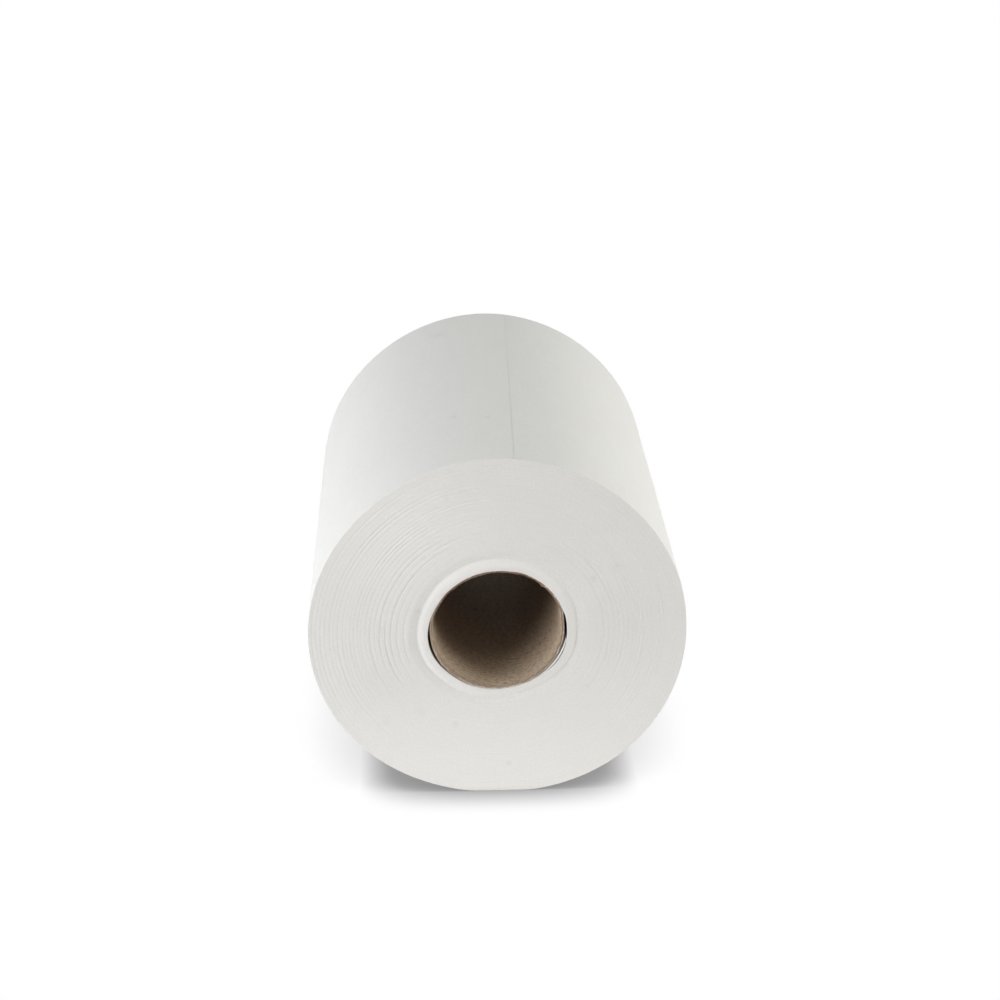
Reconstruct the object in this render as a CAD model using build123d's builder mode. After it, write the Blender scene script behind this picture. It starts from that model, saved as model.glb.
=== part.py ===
from build123d import *
import os

# Paper towel roll lying on its side: one long sheet wound on a board tube.
# The roll's axis runs along Y, and the end that shows its turns best faces -Y.
# The origin is on the surface below, in the middle of the flat spot that the soft roll rests on.

# Board tube that the sheet is wound on
core_outer_d = 61.0
core_wall = 1.5

# Sheet, and how it lies on the tube
sheet_width = 200.0
turn_thickness = 0.16
winding_thickness = 55.5
seat_clearance = 0.1
sag = 0.9
flat_sink = 1.0
tail_angle = 84.0

# Turns that slid along the tube: a collar beside it, a groove round the collar, then stepped bands
slide = 0.5
collar_width = 6.4
collar_bevel = 1.5
groove_width = 4.1
plain_width = 2.0
band_pitch = 4.0
band_step = 0.3
step_width = 0.4
rim_width = 2.0

# Sizes that follow
core_outer_r = core_outer_d / 2
core_inner_r = core_outer_r - core_wall
hole_high_r = core_outer_r + seat_clearance
hole_wide_r = hole_high_r + sag
roll_high_r = hole_high_r + winding_thickness
roll_wide_r = hole_wide_r + winding_thickness
axis_height = roll_high_r - flat_sink
front_y = -sheet_width / 2
groove_r = core_outer_r + collar_width
face_r = groove_r + groove_width
last_band_r = axis_height - rim_width - step_width
cut_r = roll_wide_r + rim_width
core_axis = Axis((0, 0, axis_height), (0, 1, 0))
straight_down = -90.0
full_turn = 360.0


def turn_edge(radius, shift, end_y):
    """Point on the half section: a turn's edge, shifted towards +Y from the end it belongs to."""
    return (end_y + shift, axis_height + radius)


def end_points(end_y):
    """Edges of all turns at one end, from the tube out: bevelled collar, groove and stepped bands.

    Each band leans out towards -Y, and the next one starts a step further in.
    """
    points = [
        turn_edge(core_outer_r, 0, end_y),
        turn_edge(core_outer_r + collar_bevel, -slide, end_y),
        turn_edge(groove_r - collar_bevel, -slide, end_y),
        turn_edge(groove_r, slide, end_y),
        turn_edge(face_r, 0, end_y),
    ]
    radius = face_r + plain_width
    while radius < last_band_r:
        points.append(turn_edge(radius, -band_step / 2, end_y))
        points.append(turn_edge(radius + step_width, band_step / 2, end_y))
        radius += band_pitch
    points.append(turn_edge(cut_r, 0, end_y))
    return points


# The wound sheet. Every turn is as wide as the sheet, so what slid out at the front is missing at the
# back. The outline is an oval, lower than wide by the sag, with the step of the loose tail on top and
# the flat spot below. Its hole is the same oval, which leaves a crescent on each side of the tube.
with BuildPart() as paper_roll:
    with BuildSketch(Plane.YZ):
        with BuildLine():
            front = Polyline(*end_points(front_y))
            back = Polyline(*end_points(front_y + sheet_width))
            Line(front @ 0, back @ 0)
            Line(front @ 1, back @ 1)
        make_face()
    revolve(axis=core_axis)
    with BuildSketch(Plane.XZ):
        with BuildLine():
            last_turn = EllipticalCenterArc(
                (0, axis_height),
                roll_wide_r,
                roll_high_r,
                start_angle=tail_angle,
                arc_size=straight_down + full_turn - tail_angle,
            )
            turn_below = EllipticalCenterArc(
                (0, axis_height),
                roll_wide_r - turn_thickness,
                roll_high_r - turn_thickness,
                start_angle=straight_down,
                arc_size=tail_angle - straight_down,
            )
            Line(turn_below @ 1, last_turn @ 0)
            Line(last_turn @ 1, turn_below @ 0)
        make_face()
        with Locations((0, axis_height)):
            Ellipse(hole_wide_r, hole_high_r, mode=Mode.SUBTRACT)
        Rectangle(2 * roll_wide_r, axis_height, align=(Align.CENTER, Align.MAX), mode=Mode.SUBTRACT)
    extrude(amount=sheet_width, both=True, mode=Mode.INTERSECT)

# The board tube, cut off with the sheet, so it is as long as the sheet is wide.
with BuildPart() as core:
    with BuildSketch(Plane.XZ):
        with Locations((0, axis_height)):
            Circle(core_outer_r)
            Circle(core_inner_r, mode=Mode.SUBTRACT)
    extrude(amount=sheet_width / 2, both=True)

os.makedirs("parts", exist_ok=True)
paper_roll.part.label = "paper_roll"
export_step(paper_roll.part, "parts/paper_roll.step")
core.part.label = "core"
export_step(core.part, "parts/core.step")
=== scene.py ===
import math

import bpy
import numpy as np
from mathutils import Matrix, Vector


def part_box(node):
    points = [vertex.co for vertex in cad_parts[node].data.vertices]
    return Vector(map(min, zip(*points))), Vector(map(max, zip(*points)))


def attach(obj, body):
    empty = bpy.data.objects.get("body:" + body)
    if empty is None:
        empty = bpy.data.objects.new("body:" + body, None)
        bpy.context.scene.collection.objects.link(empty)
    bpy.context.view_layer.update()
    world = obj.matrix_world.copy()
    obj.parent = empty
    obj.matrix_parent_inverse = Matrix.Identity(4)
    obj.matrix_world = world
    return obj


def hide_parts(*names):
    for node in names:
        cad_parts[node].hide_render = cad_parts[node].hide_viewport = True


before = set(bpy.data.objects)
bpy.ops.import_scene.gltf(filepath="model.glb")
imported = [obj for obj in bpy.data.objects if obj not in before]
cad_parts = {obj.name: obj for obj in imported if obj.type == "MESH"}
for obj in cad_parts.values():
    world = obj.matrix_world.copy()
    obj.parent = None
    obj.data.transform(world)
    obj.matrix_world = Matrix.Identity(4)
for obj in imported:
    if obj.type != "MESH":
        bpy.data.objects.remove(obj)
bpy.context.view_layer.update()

# Core tube: strips of recycled grey-brown board, glued and wound on a mandrel in a spiral, then sawn
# to length. The paper wound on it squeezes it a little out of round and leaves a thin dark crescent
# at each side. The saw leaves a furry rim that is torn along the top.
mm = 0.001
core_low, core_high = (np.array(corner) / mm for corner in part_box("core"))
axis_height = (core_low[2] + core_high[2]) / 2
front_y = core_low[1]
back_y = core_high[1]
core_r = (core_high[0] - core_low[0]) / 2
core_wall = 1.5
core_columns = 480
bore_depths = np.array((0.25, 0.6, 1.0, 1.5, 2.2, 3.2, 4.8, 7.0, 10.0))
bore_end = 13
bore_middle_rows = 46
outside_rows = 10
rim_rows = 8

# Sawn rim: its shape, and the board's wall there at some angles in degrees.
rim_inset = 0.5
rim_rounding = 0.10
rim_tilt = 0.3
rim_angles = (0, 60, 100, 130, 165, 195, 240, 270, 296, 318, 332, 345)
rim_walls = (0.85, 1.0, 0.95, 0.95, 1.0, 1.2, 0.95, 0.65, 0.8, 1.1, 1.1, 0.9)
chip_angle = 49
chip_half_width = 3
chip_depth = 0.55
flare_depth = 1.6

# Hole that the wound paper leaves, and how far the tube stands off it.
hole_slack = 0.65
hole_lobes = ((1, 0.295, 89), (2, 0.748, 6), (3, 0.40, 86), (4, 0.122, -16), (5, 0.216, 47))
hole_dents = (
    (13, 12, 0.2), (70, 12, 0.2), (140, 12, 0.22), (198, 20, 0.1),
    (225, 14, -0.16), (318, 45, -0.2), (350, 22, -0.16),
)
tube_clearance = 0.06
crescents = (
    (6, 1.1), (10, 0.95), (15, 0.5), (20, 0),
    (164, 0), (168, 0.1), (173, 0.35), (180, 0.85), (188, 1.2), (196, 1.2), (204, 1.05), (212, 0.68),
    (222, 0.42), (232, 0.32), (240, 0.24), (250, 0.12), (262, 0),
    (296, 0), (306, 0.4), (310, 0.7), (318, 1.1), (325, 1.5), (332, 1.75), (340, 1.8), (350, 1.45),
)

# Fur, tears and nicks of the rim: where it is torn most, in degrees, then the widths in columns of the
# mesh and the heights and depths in mm.
torn_middle = 95
torn_half_width = 70
torn_least = 0.35
fibre_width = 1.2
tear_width = 14
fibre_height = 0.10
tear_height = 0.20
nick_width = 3
nick_least = 0.6
nick_depth = 0.35
frayed_depth = 1.2
frayed_share = 0.8
chance = np.random.default_rng(7)


def lobes(angle, terms):
    """Waviness round the axis, in mm: a sum of cosines, each given by how many tops it has in a full
    turn, its height, and the angle of one top in degrees."""
    return sum(height * np.cos(count * (angle - np.radians(top))) for count, height, top in terms)


def hill(angle, middle, half_width):
    """Smooth hill round the axis: cosine squared, 1 at the middle and 0 from half_width degrees on."""
    away = np.abs((np.degrees(angle) - middle + 180) % 360 - 180)
    return np.cos(np.pi / 2 * np.minimum(away / half_width, 1)) ** 2


def hole_radius(angle):
    """Hole in the wound paper: the tube's radius and some slack, with the lobes of a soft roll and a few
    dents and bulges, each given by its middle, its half width in degrees and its height."""
    dents = sum(height * hill(angle, middle, half_width) for middle, half_width, height in hole_dents)
    return core_r + hole_slack + lobes(angle, hole_lobes) + dents


def tube_radius(angle):
    """Outside of the tube: it follows the hole that grips it, and stands off it in two crescents, which
    are given by depths at some angles in degrees and run straight between them."""
    gap_angles, gap_depths = zip(*crescents)
    gap = np.interp(np.degrees(angle), gap_angles, gap_depths, period=360)
    return hole_radius(angle) - tube_clearance - gap


def furry(rows, columns, width):
    """Seeded noise with a spread of 1 along closed edges, smoothed over a width in columns: white
    noise whose spectrum is cut off by a bell curve."""
    spectrum = np.fft.rfft(chance.standard_normal((rows, columns)), axis=1)
    tone = np.arange(spectrum.shape[1])
    bell = np.exp(-0.5 * (2 * np.pi * tone * width / columns) ** 2)
    noise = np.fft.irfft(spectrum * bell, columns, axis=1)
    return noise / noise.std()


def around_axis(angle, radius, y):
    """Points in metres at an angle and a radius round the roll's axis, at a place along it."""
    angle, radius, y = np.broadcast_arrays(angle, radius, y)
    return np.stack((radius * np.cos(angle), y, axis_height + radius * np.sin(angle)), -1) * mm


def wound_mesh(name, points, faces, pattern):
    """Mesh object of four-cornered faces, smooth, with the pattern's place on the winding (in mm) kept
    at each face corner, so that it doesn't jump where the winding closes. A corner that repeats the one
    beside it is left out."""
    used, faces = np.unique(faces, return_inverse=True)
    faces = faces.reshape(-1, 4)
    mesh = bpy.data.meshes.new(name)
    mesh.from_pydata(points[used].tolist(), [], [list(dict.fromkeys(face)) for face in faces.tolist()])
    kept = np.concatenate((np.ones((len(faces), 1), bool), faces[:, 1:] != faces[:, :-1]), 1)
    kept[:, 3] &= faces[:, 3] != faces[:, 0]
    wound = mesh.attributes.new("wound_mm", "FLOAT_VECTOR", "CORNER")
    wound.data.foreach_set("vector", pattern[kept].astype(np.float32).ravel())
    mesh.polygons.foreach_set("use_smooth", np.ones(len(faces), bool))
    mesh.update()
    piece = bpy.data.objects.new(name, mesh)
    bpy.context.scene.collection.objects.link(piece)
    return piece


def grid_corners(values, close_rows):
    """Four corners of every face of a grid of values, over rows and columns in one order."""
    if close_rows:
        values = np.concatenate((values, values[:1]))
    corners = (values[:-1, :-1], values[:-1, 1:], values[1:, 1:], values[1:, :-1])
    return np.stack(corners, 2).reshape((-1, 4) + values.shape[2:])


# Walk round the board's section: along the bore, over the back rim, back along the outside, and over
# the front rim. across goes from 0 at the bore to 1 outside. The bore flares at its ends, where the
# board is worn thin, and least on the left.
bore_middle = np.linspace(front_y + bore_end, back_y - bore_end, bore_middle_rows)
bore_along = np.concatenate((front_y + bore_depths, bore_middle, back_y - bore_depths[::-1]))
bore_rows = len(bore_along)
rim_across = np.linspace(0, 1, rim_rows)
rim_set_back = rim_rounding * np.abs(2 * rim_across - 1) ** 3 + rim_tilt * rim_across
core_across = np.concatenate((np.zeros(bore_rows), rim_across, np.ones(outside_rows), rim_across[::-1]))
core_along = np.concatenate((
    bore_along,
    back_y - rim_set_back,
    np.linspace(back_y - rim_inset, front_y + rim_inset, outside_rows),
    front_y + rim_set_back,
))
core_is_rim = np.concatenate((
    np.zeros(bore_rows), np.ones(rim_rows), np.zeros(outside_rows), np.ones(rim_rows),
))
core_angle = np.linspace(0, 2 * np.pi, core_columns + 1)[:-1]
torn = torn_least + hill(core_angle, torn_middle, torn_half_width)
core_total = len(core_along)
fur = fibre_height * furry(core_total, core_columns, fibre_width)
fur = fur + tear_height * furry(1, core_columns, tear_width)
rim_outwards = (np.sign(core_along) * core_is_rim)[:, None]
core_y = core_along[:, None] + rim_outwards * torn * (fur - tear_height)
core_y = np.clip(core_y, front_y - rim_inset, back_y + rim_inset)
depth = np.minimum(core_along - front_y, back_y - core_along)[:, None]
rim_wall = np.interp(np.degrees(core_angle), rim_angles, rim_walls, period=360)
rim_wall = rim_wall + torn * nick_depth * np.maximum(furry(1, core_columns, nick_width) - nick_least, 0)
rim_wall = rim_wall + chip_depth * hill(core_angle, chip_angle, chip_half_width)
flare = np.exp(-(np.maximum(depth, 0) / flare_depth) ** 2)
wall_here = core_wall + (rim_wall - core_wall) * flare
inner_edge = ((core_across == 0) & (depth[:, 0] < frayed_depth))[:, None]
core_radius = tube_radius(core_angle) - wall_here * (1 - core_across)[:, None]
core_radius = core_radius - inner_edge * torn * frayed_share * np.abs(fur)
core_points = around_axis(core_angle, core_radius, core_y)
core_index = np.arange(core_total * core_columns).reshape(core_total, core_columns)
core_index = np.concatenate((core_index, core_index[:, :1]), 1)
core_around = np.linspace(0, 2 * np.pi * core_r, core_columns + 1)
board_depth = core_wall * core_across[:, None]
core_place = np.stack(np.broadcast_arrays(core_around, core_along[:, None], board_depth), -1)
core = wound_mesh(
    "core_tube",
    core_points.reshape(-1, 3),
    grid_corners(core_index, True),
    grid_corners(core_place, True),
)


def to_linear(code):
    """sRGB hex colour as the linear RGBA that a socket takes."""
    part = np.array([int(code[place:place + 2], 16) for place in (1, 3, 5)]) / 255
    linear = np.where(part <= 0.04045, part / 12.92, ((part + 0.055) / 1.055) ** 2.4)
    return (*linear, 1.0)


def add(tree, kind, settings, inputs):
    """Node of one kind with its settings. An input is a socket, which is linked, or a plain value."""
    node = tree.nodes.new(kind)
    for name, value in settings.items():
        setattr(node, name, value)
    for name, value in inputs.items():
        if isinstance(value, bpy.types.NodeSocket):
            tree.links.new(value, node.inputs[name])
        else:
            node.inputs[name].default_value = value
    return node


def new_material(name):
    """Empty node material, as its node tree and itself."""
    material = bpy.data.materials.new(name)
    material.use_nodes = True
    material.node_tree.nodes.clear()
    return material.node_tree, material


# Recycled core board: grey-brown, matt, with paler and darker fibres and flecks from mixed waste
# paper. It is paler near its ends, partly from lint of the towel and partly as painted light, so that
# the bore is painted darker deeper in, where shade falls; right beside the ends it is darker. The
# butt seam of its inner strip runs round the bore as a faint spiral, and a spindle left two scuffed
# rings. The sawn rim is greyer, with pale loose fibres and lint at its lowest, and redder where it is
# torn; a darker line along its inner edge is painted shade of the gap between its plies. The outside
# is painted dark, as shade in the narrow gap between the tube and the paper.
board_colour = to_linear("#8C7864")
# Paler board near the ends: lint, and painted light, so that the bore is painted darker deeper in.
board_lint_and_lit_end = to_linear("#BFAC96")
board_dark = to_linear("#67543F")
board_pale = to_linear("#BDAE9C")
# Painted shade for the outside of the tube, in the narrow gap under the paper.
board_gap_shade = to_linear("#6A5948")
rim_colour = to_linear("#9E8C7C")
rim_torn = to_linear("#8E6C5C")
rim_pale = to_linear("#D3C8BA")
lint_and_shade_mm = 36.0
lint_and_shade_full_mm = 2.0
end_darkening_mm = 4.5
end_darkening_full_mm = 0.4
end_darkening_share = 0.34
torn_from_mm = 8.0
torn_full_mm = 24.0
lint_from_mm = 22.0
lint_full_mm = 29.0
rim_fade_mm = 0.25
rim_inner_shade_mm = 0.55
rim_inner_shade_share = 0.45
outside_fade_mm = 0.02
outside_full_mm = 0.001
fleck_mm = 1.1
fleck_stretch = 2.0
fibre_mm = 0.5
fibre_stretch = 3.5
seam_lead_mm = 96.0
seam_width_mm = 0.8
seam_share = 0.25
board_bump_mm = 0.25
core_turn_mm = float(core_around[-1])
strip_turn = (0, 0, math.atan2(seam_lead_mm, core_turn_mm))

# Scuffed rings: how far in from the front in mm, then the middle and the half width in degrees.
scuff_half_mm = 1.6
scuffs = ((24, 308, 40), (76, 252, 22))

tree, core_board = new_material("recycled_core_board")
place = add(tree, "ShaderNodeTexCoord", {}, {}).outputs["Object"]
wound = add(tree, "ShaderNodeAttribute", {"attribute_name": "wound_mm"}, {}).outputs["Vector"]
wound_parts = add(tree, "ShaderNodeSeparateXYZ", {}, {"Vector": wound}).outputs
strip = add(tree, "ShaderNodeMapping", {}, {
    "Vector": wound, "Rotation": strip_turn,
    "Scale": (1 / (fibre_mm * fibre_stretch), 1 / fibre_mm, 1 / fibre_mm),
})
fibres = add(tree, "ShaderNodeTexNoise", {}, {
    "Vector": strip.outputs["Vector"], "Scale": 1.0, "Detail": 3.0, "Roughness": 0.65,
})
fleck_strip = add(tree, "ShaderNodeMapping", {}, {
    "Vector": wound, "Rotation": strip_turn,
    "Scale": (1 / (fleck_mm * fleck_stretch), 1 / fleck_mm, 1 / fleck_mm),
})
flecks = add(tree, "ShaderNodeTexNoise", {}, {
    "Vector": fleck_strip.outputs["Vector"], "Scale": 1.0, "Detail": 4.0, "Roughness": 0.62,
})
fibre_share = add(tree, "ShaderNodeMapRange", {}, {
    "Value": fibres.outputs["Fac"], "From Min": 0.40, "From Max": 0.70, "To Max": 0.9,
})
fleck_share = add(tree, "ShaderNodeMapRange", {}, {
    "Value": flecks.outputs["Fac"], "From Min": 0.47, "From Max": 0.74, "To Max": 0.85,
})
off_middle = add(tree, "ShaderNodeMath", {"operation": "ABSOLUTE"}, {0: wound_parts["Y"]})
# Paler towards the ends: lint, and painted shade that makes the bore darker deeper in.
lint_and_bore_shade = add(tree, "ShaderNodeMapRange", {}, {
    "Value": off_middle.outputs["Value"],
    "From Min": back_y - lint_and_shade_mm, "From Max": back_y - lint_and_shade_full_mm,
})
board_look = add(tree, "ShaderNodeMix", {"data_type": "RGBA"}, {
    "Factor": lint_and_bore_shade.outputs["Result"], "A": board_colour, "B": board_lint_and_lit_end,
}).outputs["Result"]
board_look = add(tree, "ShaderNodeMix", {"data_type": "RGBA"}, {
    "Factor": fibre_share.outputs["Result"], "A": board_look, "B": board_pale,
}).outputs["Result"]
board_look = add(tree, "ShaderNodeMix", {"data_type": "RGBA"}, {
    "Factor": fleck_share.outputs["Result"], "A": board_look, "B": board_dark,
}).outputs["Result"]
seam_turn = add(tree, "ShaderNodeMath", {"operation": "MULTIPLY_ADD"}, {
    0: wound_parts["X"], 1: seam_lead_mm / core_turn_mm, 2: wound_parts["Y"],
})
seam_away = add(tree, "ShaderNodeMath", {"operation": "PINGPONG"}, {
    0: seam_turn.outputs["Value"], 1: seam_lead_mm / 2,
})
seam = add(tree, "ShaderNodeMapRange", {"interpolation_type": "SMOOTHSTEP"}, {
    "Value": seam_away.outputs["Value"], "From Max": seam_width_mm, "To Min": seam_share, "To Max": 0.0,
})
marks = seam.outputs["Result"]
rubbed = add(tree, "ShaderNodeMapRange", {}, {
    "Value": flecks.outputs["Fac"], "From Min": 0.46, "From Max": 0.60,
})
for scuff_depth, scuff_angle, scuff_half_width in scuffs:
    off_ring = add(tree, "ShaderNodeMath", {"operation": "SUBTRACT"}, {
        0: wound_parts["Y"], 1: front_y + scuff_depth,
    })
    off_ring = add(tree, "ShaderNodeMath", {"operation": "ABSOLUTE"}, {0: off_ring.outputs["Value"]})
    on_ring = add(tree, "ShaderNodeMapRange", {"interpolation_type": "SMOOTHSTEP"}, {
        "Value": off_ring.outputs["Value"], "From Max": scuff_half_mm, "To Min": 1.0, "To Max": 0.0,
    })
    off_angle = add(tree, "ShaderNodeMath", {"operation": "SUBTRACT"}, {
        0: wound_parts["X"], 1: core_turn_mm * scuff_angle / 360,
    })
    off_angle = add(tree, "ShaderNodeMath", {"operation": "ABSOLUTE"}, {0: off_angle.outputs["Value"]})
    on_arc = add(tree, "ShaderNodeMapRange", {"interpolation_type": "SMOOTHSTEP"}, {
        "Value": off_angle.outputs["Value"], "From Max": core_turn_mm * scuff_half_width / 360,
        "To Min": 1.0, "To Max": 0.0,
    })
    scuff = add(tree, "ShaderNodeMath", {"operation": "MULTIPLY"}, {
        0: on_ring.outputs["Result"], 1: on_arc.outputs["Result"],
    })
    scuff = add(tree, "ShaderNodeMath", {"operation": "MULTIPLY"}, {
        0: scuff.outputs["Value"], 1: rubbed.outputs["Result"],
    })
    marks = add(tree, "ShaderNodeMath", {"operation": "MAXIMUM"}, {
        0: marks, 1: scuff.outputs["Value"],
    }).outputs["Value"]
board_look = add(tree, "ShaderNodeMix", {"data_type": "RGBA"}, {
    "Factor": marks, "A": board_look, "B": board_dark,
}).outputs["Result"]
# Darker right beside the ends.
end_darkening = add(tree, "ShaderNodeMapRange", {"interpolation_type": "SMOOTHSTEP"}, {
    "Value": off_middle.outputs["Value"],
    "From Min": back_y - end_darkening_mm, "From Max": back_y - end_darkening_full_mm, "To Max": end_darkening_share,
})
board_look = add(tree, "ShaderNodeMix", {"data_type": "RGBA"}, {
    "Factor": end_darkening.outputs["Result"], "A": board_look, "B": board_dark,
}).outputs["Result"]
loose_fibres = add(tree, "ShaderNodeMapRange", {}, {
    "Value": flecks.outputs["Fac"], "From Min": 0.53, "From Max": 0.66,
})
height = add(tree, "ShaderNodeSeparateXYZ", {}, {"Vector": place}).outputs["Z"]
torn_share = add(tree, "ShaderNodeMapRange", {}, {
    "Value": height,
    "From Min": (axis_height + torn_from_mm) * mm, "From Max": (axis_height + torn_full_mm) * mm,
})
rim_look = add(tree, "ShaderNodeMix", {"data_type": "RGBA"}, {
    "Factor": torn_share.outputs["Result"], "A": rim_colour, "B": rim_torn,
}).outputs["Result"]
lint_share = add(tree, "ShaderNodeMapRange", {}, {
    "Value": height,
    "From Min": (axis_height - lint_full_mm) * mm, "From Max": (axis_height - lint_from_mm) * mm,
    "To Min": 1.0, "To Max": 0.0,
})
lint_specks = add(tree, "ShaderNodeMapRange", {}, {
    "Value": flecks.outputs["Fac"], "From Min": 0.40, "From Max": 0.58,
})
lint_share = add(tree, "ShaderNodeMath", {"operation": "MULTIPLY"}, {
    0: lint_share.outputs["Result"], 1: lint_specks.outputs["Result"],
})
pale_share = add(tree, "ShaderNodeMath", {"operation": "MAXIMUM"}, {
    0: loose_fibres.outputs["Result"], 1: lint_share.outputs["Value"],
})
rim_look = add(tree, "ShaderNodeMix", {"data_type": "RGBA"}, {
    "Factor": pale_share.outputs["Value"], "A": rim_look, "B": rim_pale,
}).outputs["Result"]
off_rim_middle = add(tree, "ShaderNodeMath", {"operation": "SUBTRACT"}, {
    0: wound_parts["Z"], 1: core_wall / 2,
})
off_rim_middle = add(tree, "ShaderNodeMath", {"operation": "ABSOLUTE"}, {0: off_rim_middle.outputs["Value"]})
# Darker line along the rim's inner edge: painted shade of the gap between the board's plies.
rim_inner_shade = add(tree, "ShaderNodeMapRange", {}, {
    "Value": wound_parts["Z"], "From Min": rim_fade_mm, "From Max": rim_inner_shade_mm,
    "To Min": rim_inner_shade_share, "To Max": 0.0,
})
rim_look = add(tree, "ShaderNodeMix", {"data_type": "RGBA"}, {
    "Factor": rim_inner_shade.outputs["Result"], "A": rim_look, "B": board_dark,
}).outputs["Result"]
on_rim = add(tree, "ShaderNodeMapRange", {}, {
    "Value": off_rim_middle.outputs["Value"],
    "From Min": core_wall / 2 - rim_fade_mm, "From Max": core_wall / 2 - outside_fade_mm,
    "To Min": 1.0, "To Max": 0.0,
})
board_look = add(tree, "ShaderNodeMix", {"data_type": "RGBA"}, {
    "Factor": on_rim.outputs["Result"], "A": board_look, "B": rim_look,
}).outputs["Result"]
# Dark outside of the tube: painted shade of the narrow gap between the tube and the paper.
on_outside = add(tree, "ShaderNodeMapRange", {}, {
    "Value": wound_parts["Z"], "From Min": core_wall - outside_fade_mm, "From Max": core_wall - outside_full_mm,
})
board_look = add(tree, "ShaderNodeMix", {"data_type": "RGBA"}, {
    "Factor": on_outside.outputs["Result"], "A": board_look, "B": board_gap_shade,
}).outputs["Result"]
board_height = add(tree, "ShaderNodeMath", {"operation": "SUBTRACT"}, {0: fibres.outputs["Fac"], 1: marks})
board_bump = add(tree, "ShaderNodeBump", {}, {
    "Strength": 0.6, "Distance": board_bump_mm * mm, "Height": board_height.outputs["Value"],
})
board_shader = add(tree, "ShaderNodeBsdfPrincipled", {}, {
    "Base Color": board_look, "Roughness": 0.7, "Specular IOR Level": 0.2,
    "Normal": board_bump.outputs["Normal"],
})
add(tree, "ShaderNodeOutputMaterial", {}, {"Surface": board_shader.outputs["BSDF"]})
core.data.materials.append(core_board)
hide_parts("core")
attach(core, "root")

# Paper roll: one long sheet of creped white tissue wound on the tube and cut square at both ends. The
# turns slid a little along the tube while it was wound and handled, so their edges show as a round
# collar, a groove and many faint rings. The loose tail of the sheet lies on top.
roll_low, roll_high = (np.array(corner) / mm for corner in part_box("paper_roll"))
half_width = -roll_low[0]
half_height = roll_high[2] - axis_height

# Outline of the roll and the rounding of its end edges.
outline_swell = 0.093
outline_lobes = ((1, 0.89, -76), (2, 0.06, -75), (3, 0.65, -38), (4, 0.11, 34), (5, 0.15, 18))
flat_blend = 0.3
edge_round = 0.3
edge_long = 0.6
edge_soft = 0.2
edge_soft_mm = 2.2

# Tail of the sheet: its line along the top, its step and the dark slot beside it.
tail_near_mm = np.array((0.1, 0.2, 0.35, 0.6))
tail_angle = 84.0
tail_slant = -0.0145
tail_wander = 0.12
tail_waves = (9, 23)
tail_step = 0.16
slot_depth = 0.12
slot_half_mm = 0.13

# Rows and columns of the mesh, and the turns that they show.
turn_columns = 240
front_face_rows = 200
edge_rows = 3
side_rows = 70
side_end_mm = np.array((0.25, 0.8, 1.6, 2.6, 4.0, 6.0))
side_inset = 9
back_face_rows = 100
hole_rows = 8
first_turn = core_r + hole_slack
last_turn = 86.5
end_shift = 1
hole_shift = 5

# Collar beside the tube: heights of the turns' edges at the left and the right, and what changes them.
collar_turns = (31.1, 31.6, 32.2, 33.0, 33.8, 34.6, 35.4, 36.0, 36.5, 37.5, 39.0, 39.8, 40.6, last_turn)
collar_left = (0.38, 0.45, 0.45, 0.39, 0.19, -0.19, -0.74, -1.04, -1.06, -0.90, -0.52, -0.30, -0.2, 0.0)
collar_right = (0.14, 0.22, 0.18, 0.08, -0.06, -0.22, -0.48, -0.66, -0.66, -0.56, -0.36, -0.28, -0.2, 0.0)
collar_middle = 140
collar_half_width = 130
steeper_top = 0.3
top_middle = 105
top_half_width = 50
flatter_side = 0.6
flatter_middle = 72
flatter_half_width = 40
shift_angles = (0, 30, 60, 90, 120, 150, 180, 270, 300, 330)
collar_shifts = (0, 0.8, 1.0, 0.7, 0.5, 0.4, 0, 0, -0.2, -0.3)
crack_turn = 35.6
crack_depth = 0.37
crack_half = 0.55
crack_middle = 345
crack_half_width = 110
back_share_of_slide = 0.35
back_share_of_rings = 0.9

# Rings: the ones that stand out, then fainter ones out to the rim, with seeded gaps and depths.
strong_rings = (39.2, 42.2, 45.5, 48.4, 50.9, 53.4, 55.7, 57.8)
strong_depths = (0.06, 0.07, 0.08, 0.13, 0.13, 0.12, 0.08, 0.10)
faint_rings = 14
faint_gaps = (1.5, 2.3)
faint_depths = (0.05, 0.10)
fade_turns = (57, 71, 86)
fade_shares = (1, 0.95, 0.68)
ring_gaps = chance.uniform(*faint_gaps, faint_rings)
ring_turns = np.concatenate((strong_rings, strong_rings[-1] + np.cumsum(ring_gaps)))
ring_depths = np.concatenate((strong_depths, chance.uniform(*faint_depths, faint_rings)))
ring_depths = ring_depths * np.interp(ring_turns, fade_turns, fade_shares)
ring_tops = chance.uniform(0, 2 * np.pi, len(ring_turns))
ring_half = 0.30
ring_even = 0.15
ring_swell = 0.45
ring_swells = 3
ring_sides = ((132, 54, 2.2), (189, 42, 1.8), (8, 82, 1.3))

# Slight waves of the side, each given by its tops in a full turn and its length along the roll in mm.
side_wave = 0.012
side_waves = ((3, 23), (7, -31), (0, 17))


def rim_radius(angle, drop):
    """Outline of the roll: the oval of its box with a soft roll's lobes, less a drop, pressed flat where
    it rests.

    The flat is a smooth minimum of the lobed oval and the straight line of the surface below.
    """
    oval = 1 / np.hypot(np.cos(angle) / half_width, np.sin(angle) / half_height)
    soft = oval + outline_swell + lobes(angle, outline_lobes) - drop
    flat = axis_height / np.maximum(-np.sin(angle), 1e-3)
    return -flat_blend * np.logaddexp(-soft / flat_blend, -flat / flat_blend)


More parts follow.
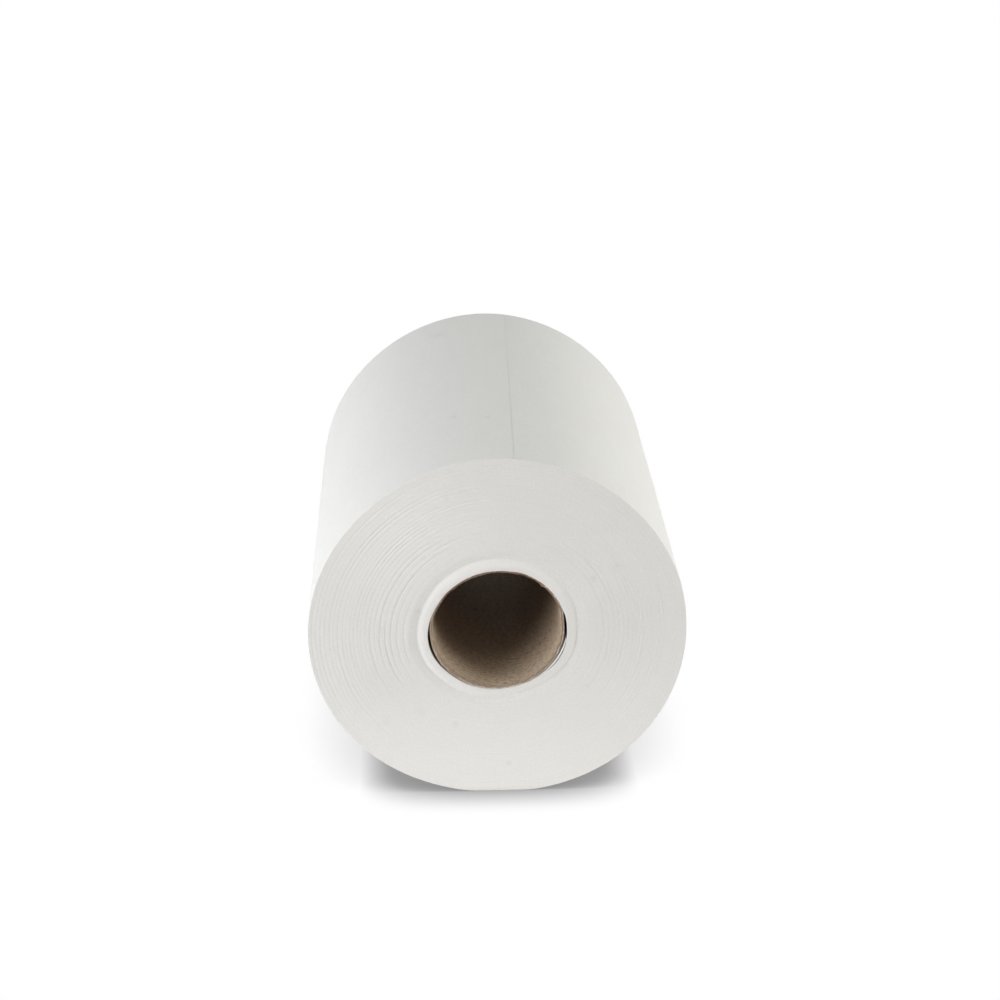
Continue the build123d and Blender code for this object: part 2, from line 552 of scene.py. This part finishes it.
def end_relief(turn, angle, slide_share, ring_share):
    """How far a turn's edge slid towards -Y, in mm: the collar's profile, which is steeper at the upper
    left, flatter at the upper right and shifts a little outwards at the top, less a bell-shaped dip for
    the crack round the collar at the right and for each ring. The rings are deepest at the sides of the
    roll, and each one fades in and out round it. The shares are how much of the collar and of the rings
    a place shows."""
    shifted = turn - np.interp(np.degrees(angle), shift_angles, collar_shifts, period=360)
    flat, steep = (np.interp(shifted, collar_turns, heights) for heights in (collar_right, collar_left))
    steep = steep * np.where(steep < 0, 1 + steeper_top * hill(angle, top_middle, top_half_width), 1)
    flat = flat * (1 - flatter_side * hill(angle, flatter_middle, flatter_half_width))
    relief = flat + hill(angle, collar_middle, collar_half_width) * (steep - flat)
    crack = crack_depth * np.exp(-((shifted - crack_turn) / crack_half) ** 2)
    relief = relief - hill(angle, crack_middle, crack_half_width) * crack
    dips = ring_depths * np.exp(-((turn[..., None] - ring_turns) / ring_half) ** 2)
    dips = dips * (1 + ring_swell * np.cos(ring_swells * angle[..., None] + ring_tops))
    uneven = ring_even + sum(
        share * hill(angle, middle, half_width) for middle, half_width, share in ring_sides
    )
    return slide_share * relief - ring_share * uneven * dips.sum(-1)


# Walk round the roll's section: through the hole, out over the back end, round its edge, back along the
# side, round the front edge, and in over the front end. share goes from 0 at the hole to 1 at the rim.
edge_swing = np.linspace(0, np.pi / 2, edge_rows + 2)[1:-1]
edge_in = np.sin(edge_swing)
edge_y = edge_long * (1 - np.cos(edge_swing))
hole_y = np.linspace(front_y, back_y, hole_rows + 2)[1:-1]
side_reach = back_y - edge_long
side_ends = side_reach - np.concatenate(((0,), side_end_mm))
side_y = np.linspace(side_reach - side_inset, side_inset - side_reach, side_rows - 2 * len(side_ends))
side_y = np.concatenate((side_ends, side_y, -side_ends[::-1]))
back_share = np.linspace(0, 1, back_face_rows)
front_share = np.linspace(1, 0, front_face_rows)
roll_share = np.concatenate((
    np.zeros(hole_rows), back_share, np.ones(2 * edge_rows + side_rows), front_share,
))[:, None]
roll_edge = np.concatenate((
    np.zeros(hole_rows + back_face_rows), edge_in, np.ones(side_rows),
    edge_in[::-1], np.zeros(front_face_rows),
))[:, None]
roll_along = np.concatenate((
    hole_y, np.full(back_face_rows, back_y), back_y - edge_y, side_y,
    front_y + edge_y[::-1], np.full(front_face_rows, front_y),
))[:, None]
near = tail_near_mm / (2 * np.pi * last_turn)
turn_share = np.sort(np.concatenate((np.linspace(0, 1, turn_columns + 1), near, 1 - near)))
tail_wave, tail_beat = (np.sin(roll_along / length) for length in tail_waves)
tail_line = tail_angle + tail_slant * roll_along + tail_wander * tail_wave * tail_beat
roll_angle = np.radians(tail_line) + 2 * np.pi * turn_share
roll_turn = first_turn + roll_share * (last_turn - first_turn)
roll_turn = roll_turn + np.zeros_like(roll_angle)
slot = slot_depth * np.exp(-((1 - turn_share) / (slot_half_mm / (2 * np.pi * last_turn))) ** 2)
waves = sum(np.cos(count * roll_angle + roll_along / length) for count, length in side_waves)
end_away = np.maximum(side_reach - np.abs(roll_along), 0)
side_drop = tail_step * turn_share + slot + side_wave * (len(side_waves) - waves)
drop = roll_edge * side_drop + edge_soft * np.exp(-end_away / edge_soft_mm)
rim = rim_radius(roll_angle, drop) - edge_round
hole = hole_radius(roll_angle)
roll_radius = hole + roll_share * (rim - hole) + roll_edge * edge_round
slide_share = np.where(roll_along > 0, back_share_of_slide, 1)
ring_share = np.where(roll_along > 0, back_share_of_rings, 1)
roll_y = roll_along - (1 - roll_edge) * end_relief(roll_turn, roll_angle, slide_share, ring_share)
roll_points = around_axis(roll_angle, roll_radius, roll_y)
roll_points[..., 2] = np.maximum(roll_points[..., 2], 0)
roll_index = np.arange(roll_turn.size).reshape(roll_turn.shape)
closed = roll_edge[:, 0] == 0
roll_index[closed, -1] = roll_index[closed, 0]

# The pattern's third value is the turn. It is lower by a shift on the ends, and by one more in the hole,
# so that the paper's looks can tell them from the side.
roll_around = turn_share * 2 * np.pi * last_turn
in_hole = np.concatenate((np.ones(hole_rows), np.zeros(len(roll_along) - hole_rows)))[:, None]
roll_layer = roll_turn + roll_edge - end_shift - hole_shift * in_hole
roll_place = np.stack(np.broadcast_arrays(roll_around, roll_along, roll_layer), -1)
tail_rows = slice(hole_rows + back_face_rows - 1, -front_face_rows + 1)
tail_face = roll_index[tail_rows, [-1, 0]]
tail_place = roll_place[tail_rows, [-1, -1]]
paper_roll = wound_mesh(
    "wound_paper",
    roll_points.reshape(-1, 3),
    np.concatenate((grid_corners(roll_index, True), grid_corners(tail_face, False))),
    np.concatenate((grid_corners(roll_place, True), grid_corners(tail_place, False))),
)

# Creped tissue: soft, matt and off-white. On the side it shows fine creping across the sheet, and on
# the ends the cut edges of the turns, a little darker and warmer, with a soft grain. The creping and
# the grain are drawn coarser than the real fibres, which are too fine to show. A few faint specks are
# left from handling. Two soft greyer places on the front end are painted shade, and a paler place at
# its upper left and a paler band on the upper half of the collar are painted light. Inside the hole
# the paper is painted dark, as shade in the gap round the tube.
side_colour = to_linear("#ECEDEB")
end_colour = to_linear("#E2E1DE")
shade_colour = to_linear("#BDB9B2")
speck_and_shade_colour = to_linear("#A9A59E")
# Paler colour for painted light on the front end.
painted_light_colour = to_linear("#F2F1EE")
# Painted shade for the paper inside the hole, in the gap round the tube.
hole_shade_colour = to_linear("#8A7F72")
line_mm = 0.9
grain_mm = 0.9
crepe_mm = 0.7
crepe_stretch = 3.0
cloud_mm = 7.0

# Specks, and last two larger greyer places of painted shade on the front end: the middle and the
# radius in mm, then the strength.
specks_and_shade = (
    (-23.2, -100, 152.4, 2.4, 0.15), (-36.1, -100, 95.6, 2.6, 0.20), (43.3, -100, 111.1, 2.4, 0.17),
    (41.6, -100, 55.8, 2.0, 0.12), (5.0, -100, 15.2, 2.4, 0.13), (-19.8, -100, 37.0, 2.4, 0.12),
    (53.2, -100, 117.0, 3.0, 0.08), (-36.0, -100, 43.7, 4.0, 0.06), (-52.0, -100, 39.3, 4.0, 0.05),
    (-18.3, -44.6, 169.5, 2.8, 0.16), (-2.7, -50.2, 171.3, 2.4, 0.13), (-24.2, 76.1, 168.0, 8.0, 0.08),
    (58.0, -100, 88.0, 34.0, 0.06), (-52.0, -100, 60.0, 28.0, 0.05),
)

# Paler place and paler band of the front end, both painted light, and where the ends and the painted
# shade in the hole begin.
painted_light_place = (-42.0, -100, 137.0)
painted_light_mm = 56.0
painted_light_share = 0.34
band_inner_mm = (-0.5, 2.5)
band_outer_mm = (3.8, 5.2)
band_upper_mm = (12, 28)
band_share = 0.32
edge_fade_mm = (0.5, 0.1)
hole_shade_fade_mm = (0.05, 0.5)

# Shares of the turns' lines and of the clouds in the relief and the shade, and the relief's depth.
line_height = 0.6
line_shade = 0.25
cloud_shade = 0.4
paper_bump_mm = 0.18

tree, tissue = new_material("creped_tissue_paper")
place = add(tree, "ShaderNodeTexCoord", {}, {}).outputs["Object"]
wound = add(tree, "ShaderNodeAttribute", {"attribute_name": "wound_mm"}, {}).outputs["Vector"]
wound_parts = add(tree, "ShaderNodeSeparateXYZ", {}, {"Vector": wound}).outputs
on_end = add(tree, "ShaderNodeMapRange", {}, {
    "Value": wound_parts["Z"],
    "From Min": last_turn - edge_fade_mm[0], "From Max": last_turn - edge_fade_mm[1],
    "To Min": 1.0, "To Max": 0.0,
}).outputs["Result"]
turn_lines = add(tree, "ShaderNodeTexNoise", {"noise_dimensions": "1D"}, {
    "W": wound_parts["Z"], "Scale": 1 / line_mm, "Detail": 2.0, "Roughness": 0.6,
})
grain = add(tree, "ShaderNodeTexNoise", {}, {
    "Vector": place, "Scale": 1 / (grain_mm * mm), "Detail": 3.0, "Roughness": 0.6,
})
crepe_map = add(tree, "ShaderNodeMapping", {}, {
    "Vector": wound, "Scale": (1 / crepe_mm, 1 / (crepe_mm * crepe_stretch), 1.0),
})
crepe = add(tree, "ShaderNodeTexNoise", {}, {
    "Vector": crepe_map.outputs["Vector"], "Scale": 1.0, "Detail": 3.0, "Roughness": 0.6,
})
cloud_map = add(tree, "ShaderNodeMapping", {}, {
    "Vector": wound, "Scale": (1 / cloud_mm, 1 / (cloud_mm * crepe_stretch), 1.0),
})
clouds = add(tree, "ShaderNodeTexNoise", {}, {
    "Vector": cloud_map.outputs["Vector"], "Scale": 1.0, "Detail": 3.0, "Roughness": 0.6,
})
end_height = add(tree, "ShaderNodeMath", {"operation": "MULTIPLY_ADD"}, {
    0: turn_lines.outputs["Fac"], 1: line_height, 2: grain.outputs["Fac"],
})
paper_height = add(tree, "ShaderNodeMix", {"data_type": "FLOAT"}, {
    "Factor": on_end, "A": crepe.outputs["Fac"], "B": end_height.outputs["Value"],
})
paper_bump = add(tree, "ShaderNodeBump", {}, {
    "Strength": 0.5, "Distance": paper_bump_mm * mm, "Height": paper_height.outputs["Result"],
})
paper_look = add(tree, "ShaderNodeMix", {"data_type": "RGBA"}, {
    "Factor": on_end, "A": side_colour, "B": end_colour,
}).outputs["Result"]
end_shade = add(tree, "ShaderNodeMath", {"operation": "MULTIPLY_ADD"}, {
    0: turn_lines.outputs["Fac"], 1: line_shade, 2: grain.outputs["Fac"],
})
end_shade = add(tree, "ShaderNodeMapRange", {}, {
    "Value": end_shade.outputs["Value"], "From Min": 0.35, "From Max": 0.90, "To Max": 0.27,
})
side_shade = add(tree, "ShaderNodeMath", {"operation": "MULTIPLY_ADD"}, {
    0: clouds.outputs["Fac"], 1: cloud_shade, 2: crepe.outputs["Fac"],
})
side_shade = add(tree, "ShaderNodeMapRange", {}, {
    "Value": side_shade.outputs["Value"], "From Min": 0.45, "From Max": 0.95, "To Max": 0.12,
})
shade_share = add(tree, "ShaderNodeMix", {"data_type": "FLOAT"}, {
    "Factor": on_end, "A": side_shade.outputs["Result"], "B": end_shade.outputs["Result"],
})
paper_look = add(tree, "ShaderNodeMix", {"data_type": "RGBA"}, {
    "Factor": shade_share.outputs["Result"], "A": paper_look, "B": shade_colour,
}).outputs["Result"]
speck_and_shade_share = 0.0
# The last two places in the list are larger greyer places of painted shade; the rest are specks.
for x, y, z, patch_mm, patch_strength in specks_and_shade:
    patch_away = add(tree, "ShaderNodeVectorMath", {"operation": "DISTANCE"}, {
        0: place, 1: (x * mm, y * mm, z * mm),
    })
    patch = add(tree, "ShaderNodeMapRange", {"interpolation_type": "SMOOTHSTEP"}, {
        "Value": patch_away.outputs["Value"], "From Max": patch_mm * mm,
        "To Min": patch_strength, "To Max": 0.0,
    })
    speck_and_shade_share = add(tree, "ShaderNodeMath", {"operation": "ADD"}, {
        0: patch.outputs["Result"], 1: speck_and_shade_share,
    }).outputs["Value"]
paper_look = add(tree, "ShaderNodeMix", {"data_type": "RGBA"}, {
    "Factor": speck_and_shade_share, "A": paper_look, "B": speck_and_shade_colour,
}).outputs["Result"]
# Paler place at the upper left of the front end: painted light.
painted_light_away = add(tree, "ShaderNodeVectorMath", {"operation": "DISTANCE"}, {
    0: place, 1: tuple(part * mm for part in painted_light_place),
})
painted_light = add(tree, "ShaderNodeMapRange", {"interpolation_type": "SMOOTHSTEP"}, {
    "Value": painted_light_away.outputs["Value"], "From Max": painted_light_mm * mm, "To Min": painted_light_share, "To Max": 0.0,
})
paper_look = add(tree, "ShaderNodeMix", {"data_type": "RGBA"}, {
    "Factor": painted_light.outputs["Result"], "A": paper_look, "B": painted_light_colour,
}).outputs["Result"]
# Paler band on the upper half of the collar: painted light.
band_in = add(tree, "ShaderNodeMapRange", {"interpolation_type": "SMOOTHSTEP"}, {
    "Value": wound_parts["Z"],
    "From Min": first_turn + band_inner_mm[0], "From Max": first_turn + band_inner_mm[1],
})
band_out = add(tree, "ShaderNodeMapRange", {"interpolation_type": "SMOOTHSTEP"}, {
    "Value": wound_parts["Z"],
    "From Min": first_turn + band_outer_mm[0], "From Max": first_turn + band_outer_mm[1],
    "To Min": 1.0, "To Max": 0.0,
})
height = add(tree, "ShaderNodeSeparateXYZ", {}, {"Vector": place}).outputs["Z"]
band_upper = add(tree, "ShaderNodeMapRange", {"interpolation_type": "SMOOTHSTEP"}, {
    "Value": height, "To Max": band_share,
    "From Min": (axis_height + band_upper_mm[0]) * mm, "From Max": (axis_height + band_upper_mm[1]) * mm,
})
band = add(tree, "ShaderNodeMath", {"operation": "MULTIPLY"}, {
    0: band_in.outputs["Result"], 1: band_out.outputs["Result"],
})
band = add(tree, "ShaderNodeMath", {"operation": "MULTIPLY"}, {
    0: band.outputs["Value"], 1: band_upper.outputs["Result"],
})
paper_look = add(tree, "ShaderNodeMix", {"data_type": "RGBA"}, {
    "Factor": band.outputs["Value"], "A": paper_look, "B": painted_light_colour,
}).outputs["Result"]
hole_edge = first_turn - end_shift
# Paper inside the hole: painted dark, as shade in the gap round the tube.
hole_shade = add(tree, "ShaderNodeMapRange", {}, {
    "Value": wound_parts["Z"],
    "From Min": hole_edge - hole_shade_fade_mm[0], "From Max": hole_edge - hole_shade_fade_mm[1],
})
paper_look = add(tree, "ShaderNodeMix", {"data_type": "RGBA"}, {
    "Factor": hole_shade.outputs["Result"], "A": paper_look, "B": hole_shade_colour,
}).outputs["Result"]
paper_shader = add(tree, "ShaderNodeBsdfPrincipled", {}, {
    "Base Color": paper_look, "Roughness": 0.95, "Specular IOR Level": 0.1,
    "Normal": paper_bump.outputs["Normal"],
})
add(tree, "ShaderNodeOutputMaterial", {}, {"Surface": paper_shader.outputs["BSDF"]})
paper_roll.data.materials.append(tissue)
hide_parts("paper_roll")
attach(paper_roll, "root")

# Loose inner turns: the first few turns of the sheet, which let go of the others beside the wider
# crescent and stand as a thin white line between the tube and the rest.
loose_start = 302
loose_end = 352
loose_middle = 332
loose_half_width = 30
loose_gap = 0.55
loose_clearance = 0.02
sheet_mm = 0.6
sheet_least = 0.25
loose_columns = 64
loose_rows = 24


def strip_corners(values):
    """Four corners of every face of a flat strip, whose rows run out along its inside and back along its
    outside: the grid round it, and the two narrow faces that close its first and its last column."""
    inside, outside = values[:loose_rows], values[:loose_rows - 1:-1]
    first_end = np.stack((inside[:, 0], outside[:, 0]), 1)[::-1]
    last_end = np.stack((outside[:, -1], inside[:, -1]), 1)[::-1]
    ends = (grid_corners(first_end, False), grid_corners(last_end, False))
    return np.concatenate((grid_corners(values, True), *ends))


loose_angle = np.radians(np.linspace(loose_start, loose_end, loose_columns))
loosest = hill(loose_angle, loose_middle, loose_half_width)
loose_outer = hole_radius(loose_angle) - loose_clearance - loose_gap * loosest
loose_sheet = sheet_mm * (sheet_least + (1 - sheet_least) * loosest)
loose_y = np.linspace(front_y, back_y, loose_rows)
loose_across = np.concatenate((np.zeros(loose_rows), np.ones(loose_rows)))[:, None]
loose_along = np.concatenate((loose_y, loose_y[::-1]))[:, None]
loose_points = around_axis(loose_angle, loose_outer - loose_sheet * (1 - loose_across), loose_along)
loose_index = np.arange(2 * loose_rows * loose_columns).reshape(2 * loose_rows, loose_columns)
loose_layer = np.full((1, 1), last_turn)
loose_place = np.stack(np.broadcast_arrays(loose_angle * first_turn, loose_along, loose_layer), -1)
loose_turn = wound_mesh(
    "loose_inner_turn",
    loose_points.reshape(-1, 3),
    strip_corners(loose_index),
    strip_corners(loose_place),
)
loose_turn.data.materials.append(tissue)
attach(loose_turn, "root")

# Floor: a plain white sweep below the roll. It shows white, with the soft contact shadow of the roll,
# which is how much of the sky over each spot the roll takes away. A near and a wide shadow are given by
# their reach in metres, the shares of open sky where they are darkest and end, and their darkest level.
floor_half = 6.0
shadows = ((0.0205, 0.47, 0.97, 0.47), (0.07, 0.20, 0.63, 0.62))
sky_samples = 16
floor_colour = to_linear("#F7F7F7")


def seen_as_background(tree):
    """1 for a ray from the camera, straight or by way of a mirror or glass, and 0 for all others."""
    path = add(tree, "ShaderNodeLightPath", {}, {}).outputs
    seen = path["Is Camera Ray"]
    for ray in ("Is Glossy Ray", "Is Transmission Ray"):
        seen = add(tree, "ShaderNodeMath", {"operation": "MAXIMUM"}, {
            0: seen, 1: path[ray],
        }).outputs["Value"]
    return seen


floor_mesh = bpy.data.meshes.new("floor")
floor_corners = np.array(((-1, -1, 0), (1, -1, 0), (1, 1, 0), (-1, 1, 0))) * floor_half
floor_mesh.from_pydata(floor_corners.tolist(), [], [(0, 1, 2, 3)])
floor = bpy.data.objects.new("floor", floor_mesh)
bpy.context.scene.collection.objects.link(floor)
tree, sweep = new_material("white_sweep")
floor_level = 1.0
for reach, darkest_sky, open_sky, darkest_level in shadows:
    sky = add(tree, "ShaderNodeAmbientOcclusion", {"samples": sky_samples}, {"Distance": reach})
    shadow = add(tree, "ShaderNodeMapRange", {}, {
        "Value": sky.outputs["AO"], "From Min": darkest_sky, "From Max": open_sky,
        "To Min": darkest_level, "To Max": 1.0,
    })
    floor_level = add(tree, "ShaderNodeMath", {"operation": "MULTIPLY"}, {
        0: shadow.outputs["Result"], 1: floor_level,
    }).outputs["Value"]
floor_white = add(tree, "ShaderNodeEmission", {}, {"Strength": floor_level})
floor_matt = add(tree, "ShaderNodeBsdfDiffuse", {}, {"Color": floor_colour})
floor_shader = add(tree, "ShaderNodeMixShader", {}, {
    0: seen_as_background(tree), 1: floor_matt.outputs["BSDF"], 2: floor_white.outputs["Emission"],
})
add(tree, "ShaderNodeOutputMaterial", {}, {"Surface": floor_shader.outputs["Shader"]})
floor_mesh.materials.append(sweep)

# Light: a large soft panel at each side, the left one lower and more to the front, a soft one high in
# front, a faint one behind, pale cards lying in front of the roll, and a dim pale room round them, darker
# on the camera's side.
roll_middle = np.array((0, 0, axis_height * mm))

# Panels: bearing and height in degrees, size in metres, power in watts and tint. Cards: place along Y,
# size and power.
panel_distance = 1.3
panels = (
    ("left_panel", -63, 14, (1.0, 0.45), 11.8, (0.995, 0.992, 1.012)),
    ("right_panel", 73, 26, (0.6, 0.9), 9.4, (1.02, 0.998, 0.962)),
    ("high_panel", 0, 66, (0.9, 0.6), 1.9, (1.0, 1.0, 0.94)),
    ("back_panel", 180, 29, (0.9, 0.5), 1.7, (1.0, 1.0, 0.95)),
)
cards = (("front_card", -0.19, (0.4, 0.14), 0.0575), ("near_card", -0.117, (0.26, 0.032), 0.0085))
card_height = 0.0003
room_colour = to_linear("#FFFFFF")
room_strength = 0.24
room_lean = 0.08


def add_panel(name, spot, target, size, power, tint):
    """Area lamp at a spot that faces a target, which the camera doesn't see."""
    lamp = bpy.data.lights.new(name, "AREA")
    lamp.shape = "RECTANGLE"
    lamp.color = tint
    lamp.size, lamp.size_y = size
    lamp.energy = power
    panel = bpy.data.objects.new(name, lamp)
    panel.location = spot
    panel.visible_camera = False
    aim = np.array(target) - spot
    tilt = math.atan2(math.hypot(aim[0], aim[1]), -aim[2])
    panel.rotation_euler = (tilt, 0, math.atan2(-aim[0], aim[1]))
    bpy.context.scene.collection.objects.link(panel)


for name, bearing, height, size, power, tint in panels:
    bearing, height = math.radians(bearing), math.radians(height)
    level = math.cos(height)
    towards = np.array((math.sin(bearing) * level, -math.cos(bearing) * level, math.sin(height)))
    add_panel(name, roll_middle + panel_distance * towards, roll_middle, size, power, tint)
for name, card_y, size, power in cards:
    add_panel(name, np.array((0, card_y, card_height)), (0, card_y, 1), size, power, (1, 1, 1))
world = bpy.data.worlds.new("pale_room")
world.use_nodes = True
tree = world.node_tree
tree.nodes.clear()
way = add(tree, "ShaderNodeTexCoord", {}, {}).outputs["Generated"]
way_back = add(tree, "ShaderNodeSeparateXYZ", {}, {"Vector": way}).outputs["Y"]
room_light = add(tree, "ShaderNodeMath", {"operation": "MULTIPLY_ADD"}, {
    0: way_back, 1: room_lean, 2: room_strength,
})
room_level = add(tree, "ShaderNodeMapRange", {}, {
    "Value": seen_as_background(tree), "To Min": room_light.outputs["Value"], "To Max": 1.0,
})
room = add(tree, "ShaderNodeBackground", {}, {
    "Color": room_colour, "Strength": room_level.outputs["Result"],
})
add(tree, "ShaderNodeOutputWorld", {}, {"Surface": room.outputs["Background"]})
bpy.context.scene.world = world
bpy.context.scene.view_settings.view_transform = "Standard"

# Camera: from a little above and nearly along the roll's axis, as in the photograph.
camera_lens_mm = 70.34
camera_sensor_mm = 36.0
camera_place = (-0.0322, -0.8905, 0.5028)
camera_tilt = 66.025
camera_turn = -2.395
camera_data = bpy.data.cameras.new("camera")
camera_data.lens = camera_lens_mm
camera_data.sensor_width = camera_sensor_mm
camera = bpy.data.objects.new("camera", camera_data)
camera.location = camera_place
camera.rotation_euler = (math.radians(camera_tilt), 0, math.radians(camera_turn))
bpy.context.scene.collection.objects.link(camera)
bpy.context.scene.camera = camera
